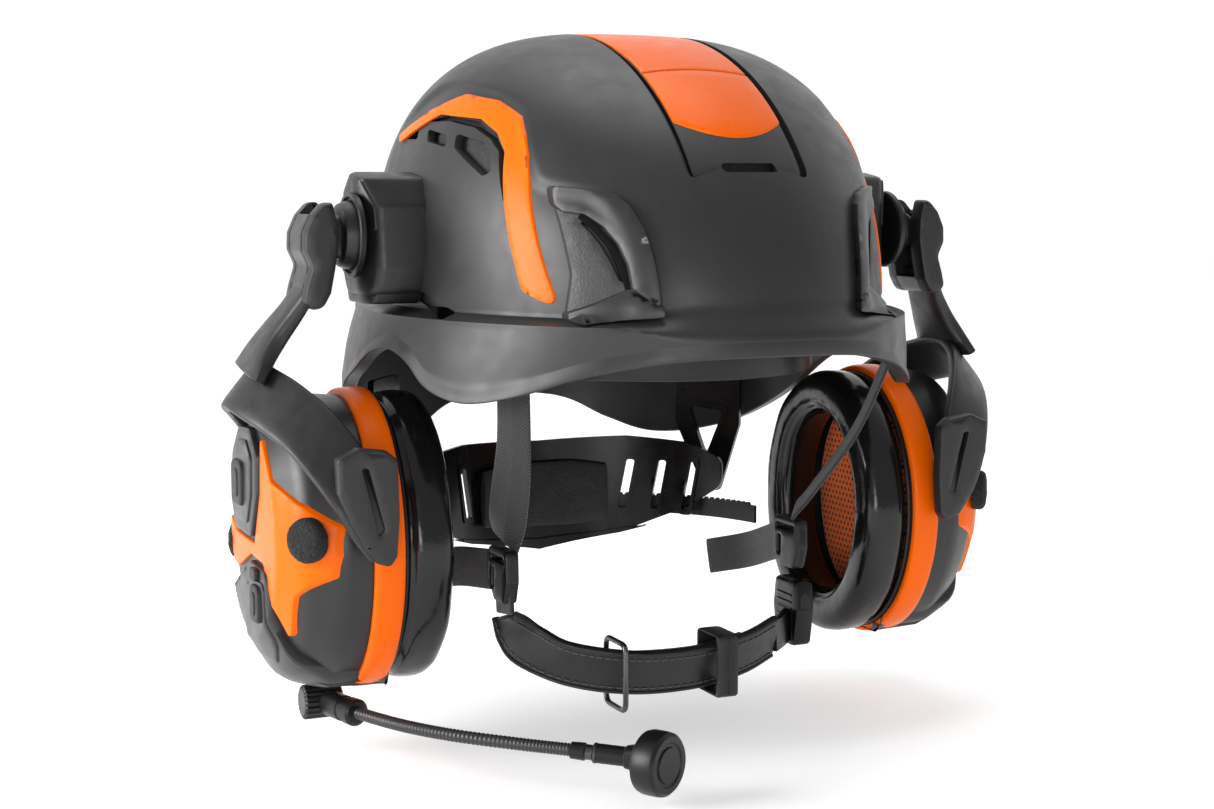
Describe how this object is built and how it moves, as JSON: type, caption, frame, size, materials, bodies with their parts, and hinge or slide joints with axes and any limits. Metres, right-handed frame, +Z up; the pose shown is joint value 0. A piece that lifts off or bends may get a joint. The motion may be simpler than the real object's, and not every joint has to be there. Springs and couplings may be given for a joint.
{
  "type": "forestry helmet",
  "caption": "Vented forestry helmet with folding electronic ear defenders, microphone boom, textile suspension, ratchet nape cradle and padded chin strap.",
  "frame": {"origin": "centre of the head opening, level with the wearer's brow, on the helmet's middle plane", "axes": "+Z up, -Y the front of the helmet, +X the wearer's left, across the two ear defenders"},
  "size_m": [0.3368, 0.283, 0.2829],
  "materials": {
    "shell_grey": "satin, fine-grained",
    "signal_orange": "gloss",
    "black_plastic": "satin",
    "textured_black": "coarse grain",
    "arm_grey": "matt grain",
    "foam_liner": "moulded foam",
    "textile_black": "padded textile",
    "webbing_black": "woven webbing",
    "chin_leather": "stitched synthetic leather",
    "dark_steel": "dark nickel",
    "gooseneck_black": "ribbed",
    "cup_charcoal": "satin",
    "rubber_black": "matt",
    "mic_foam": "open-cell foam",
    "cushion_vinyl": "glossy smooth",
    "ear_foam_orange": "perforated mesh over foam",
    "speaker_black": "matt"
  },
  "bodies": {
    "root": {"shell": "shell_grey", "crown_panel": "shell_grey", "crown_inlays": "signal_orange", "vent_grilles": "black_plastic", "side_stripes": "signal_orange", "lamp_clip_plates": "textured_black", "lamp_clip_hooks": "black_plastic", "ear_mount_right": "arm_grey", "ear_mount_left": "arm_grey", "impact_liner": "foam_liner", "headband": "black_plastic", "brow_pad": "textile_black", "crown_webbing": "webbing_black", "suspension_clips": "black_plastic", "height_brackets": "black_plastic", "front_straps": "webbing_black", "rear_straps": "webbing_black", "strap_dividers": "black_plastic", "buckle_socket": "black_plastic"},
    "cradle": {"nape_cradle": "black_plastic", "nape_pad": "textile_black", "ratchet_housing": "black_plastic"},
    "rack_right": {"rack_band_right": "black_plastic"},
    "rack_left": {"rack_band_left": "black_plastic"},
    "knob": {"ratchet_knob": "textured_black"},
    "chin": {"chin_strap": "chin_leather", "chin_pad": "chin_leather", "strap_keeper": "black_plastic", "strap_ring": "dark_steel", "buckle_tongue": "black_plastic"},
    "swivel_right": {"swivel_disc_right": "arm_grey"},
    "arm_right": {"arm_right": "arm_grey"},
    "yoke_right": {"yoke_right": "arm_grey"},
    "cup_right": {"cup_shell_right": "cup_charcoal", "cup_band_right": "signal_orange", "face_plate_right": "signal_orange", "control_pods_right": "arm_grey", "mic_foams_right": "mic_foam", "cushion_right": "cushion_vinyl", "ear_foam_right": "ear_foam_orange", "speaker_right": "speaker_black"},
    "upper_button_right": {"button_upper_right": "rubber_black"},
    "lower_button_right": {"button_lower_right": "rubber_black"},
    "swivel_left": {"swivel_disc_left": "arm_grey"},
    "arm_left": {"arm_left": "arm_grey"},
    "yoke_left": {"yoke_left": "arm_grey"},
    "cup_left": {"cup_shell_left": "cup_charcoal", "cup_band_left": "signal_orange", "face_plate_left": "signal_orange", "control_pods_left": "arm_grey", "mic_foams_left": "mic_foam", "cushion_left": "cushion_vinyl", "ear_foam_left": "ear_foam_orange", "speaker_left": "speaker_black"},
    "upper_button_left": {"button_upper_left": "rubber_black"},
    "lower_button_left": {"button_lower_left": "rubber_black"},
    "boom": {"boom_socket": "black_plastic", "boom_gooseneck": "gooseneck_black", "boom_fittings": "black_plastic", "mic_head": "black_plastic"}
  },
  "joints": [
    {"name": "cradle_height", "type": "slide", "parent": "root", "child": "cradle", "axis": [0, 0, 1], "range_m": [0, 0.015]},
    {"name": "ratchet_knob_turn", "type": "hinge", "parent": "cradle", "child": "knob", "pos_m": [0, 0.104, -0.046], "axis": [0, 1, 0], "range_deg": [0, 95]},
    {"name": "rack_right_wrap", "type": "hinge", "parent": "cradle", "child": "rack_right", "pos_m": [0, 0.012, -0.046], "axis": [0, 0, -1], "range_deg": [0, 8]},
    {"name": "rack_left_wrap", "type": "hinge", "parent": "cradle", "child": "rack_left", "pos_m": [0, 0.012, -0.046], "axis": [0, 0, 1], "range_deg": [0, 8]},
    {"name": "chin_strap_swing", "type": "hinge", "parent": "root", "child": "chin", "pos_m": [-0.07, -0.047, -0.075], "axis": [0, 1, 0], "range_deg": [0, 60]},
    {"name": "arm_swivel_right", "type": "hinge", "parent": "root", "child": "swivel_right", "pos_m": [-0.118, -0.013, 0.0725], "axis": [1, 0, 0], "range_deg": [-8, 5]},
    {"name": "arm_tilt_right", "type": "hinge", "parent": "swivel_right", "child": "arm_right", "pos_m": [-0.134, -0.013, 0.07], "axis": [0, 1, 0], "range_deg": [0, 25]},
    {"name": "yoke_slide_right", "type": "slide", "parent": "arm_right", "child": "yoke_right", "axis": [-0.5294, 0, -0.8484], "range_m": [0, 0.02]},
    {"name": "cup_pivot_right", "type": "hinge", "parent": "yoke_right", "child": "cup_right", "pos_m": [-0.127, -0.005, -0.042], "axis": [0, 1, 0], "range_deg": [-8, 8]},
    {"name": "upper_button_press_right", "type": "slide", "parent": "cup_right", "child": "upper_button_right", "axis": [1, 0, 0], "range_m": [0, 0.001], "stiffness_N_per_m": 600},
    {"name": "lower_button_press_right", "type": "slide", "parent": "cup_right", "child": "lower_button_right", "axis": [1, 0, 0], "range_m": [0, 0.001], "stiffness_N_per_m": 600},
    {"name": "arm_swivel_left", "type": "hinge", "parent": "root", "child": "swivel_left", "pos_m": [0.118, -0.013, 0.0725], "axis": [1, 0, 0], "range_deg": [-8, 5]},
    {"name": "arm_tilt_left", "type": "hinge", "parent": "swivel_left", "child": "arm_left", "pos_m": [0.134, -0.013, 0.07], "axis": [0, -1, 0], "range_deg": [0, 25]},
    {"name": "yoke_slide_left", "type": "slide", "parent": "arm_left", "child": "yoke_left", "axis": [0.5294, 0, -0.8484], "range_m": [0, 0.02]},
    {"name": "cup_pivot_left", "type": "hinge", "parent": "yoke_left", "child": "cup_left", "pos_m": [0.127, -0.005, -0.042], "axis": [0, 1, 0], "range_deg": [-8, 8]},
    {"name": "upper_button_press_left", "type": "slide", "parent": "cup_left", "child": "upper_button_left", "axis": [-1, 0, 0], "range_m": [0, 0.001], "stiffness_N_per_m": 600},
    {"name": "lower_button_press_left", "type": "slide", "parent": "cup_left", "child": "lower_button_left", "axis": [-1, 0, 0], "range_m": [0, 0.001], "stiffness_N_per_m": 600},
    {"name": "boom_turn", "type": "hinge", "parent": "cup_right", "child": "boom", "pos_m": [-0.13, 0.004, -0.114], "axis": [1, 0, 0], "range_deg": [-10, 25]}
  ],
  "couplings": [
    {"joint": "rack_right_wrap", "follows": "ratchet_knob_turn", "ratio": 0.07218},
    {"joint": "rack_left_wrap", "follows": "ratchet_knob_turn", "ratio": 0.07218}
  ]
}
